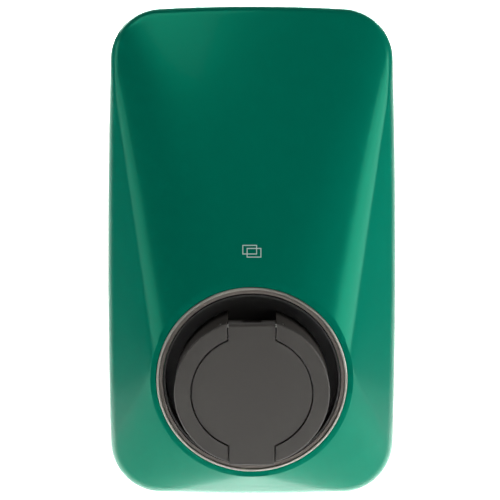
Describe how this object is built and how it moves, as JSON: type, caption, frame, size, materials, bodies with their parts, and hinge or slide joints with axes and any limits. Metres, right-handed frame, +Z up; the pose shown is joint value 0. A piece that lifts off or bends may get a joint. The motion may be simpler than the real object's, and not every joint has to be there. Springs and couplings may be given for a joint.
{
  "type": "wall charging unit",
  "caption": "Wall-mounted electric vehicle charging unit with a sloping moulded cover, a light ring and a hinged lid over the plug socket.",
  "frame": {"origin": "centre of the bracket's four wall holes, on the wall plane", "axes": "+X to the unit's right as seen from the front, +Z up, the unit faces -Y"},
  "size_m": [0.23, 0.1346, 0.39],
  "materials": {
    "green_cover": "gloss",
    "dark_housing": "fine texture",
    "black_plastic": "fine texture",
    "satin_silver": "satin",
    "smoked_guide": "smoked, satin",
    "rubber": "matt",
    "bracket_steel": "powder coat",
    "screw_steel": "zinc plated",
    "board": "solder mask",
    "insulator_grey": "moulded",
    "contact_metal": "silver plated",
    "component_black": "moulded",
    "component_white": "moulded",
    "can_metal": "drawn",
    "ferrite": "matt",
    "lead_insulation": "soft PVC",
    "card_print": "printed film"
  },
  "bodies": {
    "unit": {"wall_bracket": "bracket_steel", "bracket_nuts": "screw_steel", "rear_housing": "dark_housing", "bottom_blanking_plug": "dark_housing", "pressure_vent": "dark_housing", "supply_grommet": "rubber", "housing_gasket": "rubber", "cover_screws": "screw_steel", "securing_screws": "screw_steel", "securing_washers": "rubber", "front_cover": "green_cover", "card_mark": "card_print", "reader_board": "board", "reader_shield": "ferrite", "recess_cup": "black_plastic", "cup_screws": "screw_steel", "trim_ring": "satin_silver", "light_guide_ring": "smoked_guide", "led_ring_board": "board", "socket_collar": "black_plastic", "collar_screws": "screw_steel", "lid_hinge_pin": "screw_steel", "lid_spring": "screw_steel", "socket_body": "insulator_grey", "socket_screws": "screw_steel", "contact_carrier": "insulator_grey", "power_contacts": "contact_metal", "signal_contacts": "contact_metal", "lock_motor": "can_metal", "lock_case": "component_black", "lock_case_cover": "component_black", "main_board": "board", "board_screws": "screw_steel", "capacitors": "can_metal", "output_block": "component_white", "input_block": "component_white", "supply_leads": "lead_insulation", "residual_current_sensor": "ferrite", "sensor_bracket": "component_black", "terminal_block": "component_white", "terminal_screws": "screw_steel", "power_relays": "component_black", "power_supply": "component_black", "meter_module": "component_black", "control_module": "component_black", "power_leads": "lead_insulation", "signal_leads": "lead_insulation"},
    "lid": {"socket_lid": "black_plastic", "lid_seal": "rubber"},
    "lock_bolt": {"lock_pin": "component_black"},
    "lock_screw": {"lock_leadscrew": "screw_steel"}
  },
  "joints": [
    {"name": "lid_hinge", "type": "hinge", "parent": "unit", "child": "lid", "pos_m": [0, -0.13, -0.05575], "axis": [-1, 0, 0], "range_deg": [0, 110]},
    {"name": "lock_slide", "type": "slide", "parent": "unit", "child": "lock_bolt", "axis": [-1, 0, 0], "range_m": [0, 0.0046]},
    {"name": "lock_screw_turn", "type": "hinge", "parent": "unit", "child": "lock_screw", "pos_m": [0.05, -0.0752, -0.0949], "axis": [1, 0, 0], "range_deg": [0, 360]}
  ],
  "couplings": [
    {"joint": "lock_screw_turn", "follows": "lock_slide", "rad_per_m": 1365.9}
  ]
}
